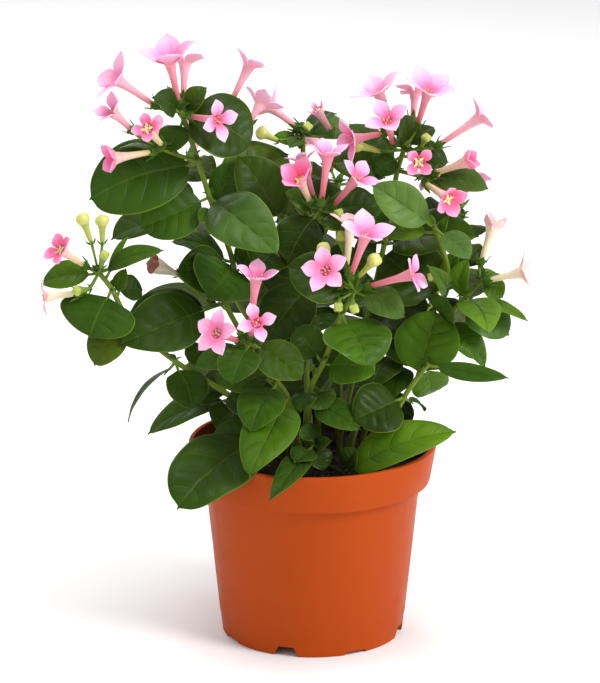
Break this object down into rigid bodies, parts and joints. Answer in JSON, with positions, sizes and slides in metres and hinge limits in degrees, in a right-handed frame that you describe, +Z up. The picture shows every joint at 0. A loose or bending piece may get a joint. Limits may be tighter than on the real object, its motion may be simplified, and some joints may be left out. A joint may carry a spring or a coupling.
{
  "type": "potted bouvardia",
  "caption": "Flowering bouvardia with broad dark leaves and pale pink tubular flowers, growing in a round terracotta-coloured nursery pot.",
  "frame": {"origin": "the middle of the whole plant's footprint at floor level; the pot's own axis stands a little in front of it", "axes": "+Z up, the plant's front towards -Y, +X to the right seen from the front"},
  "size_m": [0.2352, 0.196, 0.2945],
  "materials": {
    "pot": "satin",
    "soil": "matte",
    "foliage": "satin",
    "petals": "matte"
  },
  "bodies": {
    "root": {"pot": "pot", "soil": "soil", "shoot_upper_left": "foliage", "bloom_upper_left_1": "petals", "bloom_upper_left_2": "petals", "bloom_upper_left_3": "petals", "bloom_upper_left_4": "petals", "bloom_upper_left_5": "petals", "bloom_upper_left_6": "petals", "bloom_upper_left_7": "petals", "shoot_back_top": "foliage", "bloom_back_top_1": "petals", "bloom_back_top_2": "petals", "bloom_back_top_3": "petals", "bloom_back_top_4": "petals", "shoot_centre": "foliage", "bloom_centre_1": "petals", "bloom_centre_2": "petals", "bloom_centre_3": "petals", "bloom_centre_4": "petals", "shoot_upper_right": "foliage", "bloom_upper_right_1": "petals", "bloom_upper_right_2": "petals", "bloom_upper_right_3": "petals", "bloom_upper_right_4": "petals", "bloom_upper_right_5": "petals", "bloom_upper_right_6": "petals", "bloom_upper_right_7": "petals", "bloom_upper_right_8": "petals", "bloom_upper_right_9": "petals", "shoot_centre_front": "foliage", "bloom_centre_front_1": "petals", "bloom_centre_front_2": "petals", "bloom_centre_front_3": "petals", "bloom_centre_front_4": "petals", "shoot_lower_left": "foliage", "bloom_lower_left_1": "petals", "bloom_lower_left_2": "petals", "bloom_lower_left_3": "petals", "shoot_left": "foliage", "bloom_left_1": "petals", "bloom_left_2": "petals", "shoot_right": "foliage", "bloom_right_1": "petals", "bloom_right_2": "petals", "shoot_right_rosette": "foliage", "shoot_right_low": "foliage", "shoot_back_left": "foliage", "bloom_back_left_1": "petals", "bloom_back_left_2": "petals", "shoot_back_middle": "foliage", "bloom_back_middle_1": "petals", "bloom_back_middle_2": "petals", "shoot_back_right": "foliage", "bloom_back_right_1": "petals", "bloom_back_right_2": "petals", "shoot_back_low": "foliage"}
  },
  "joints": []
}
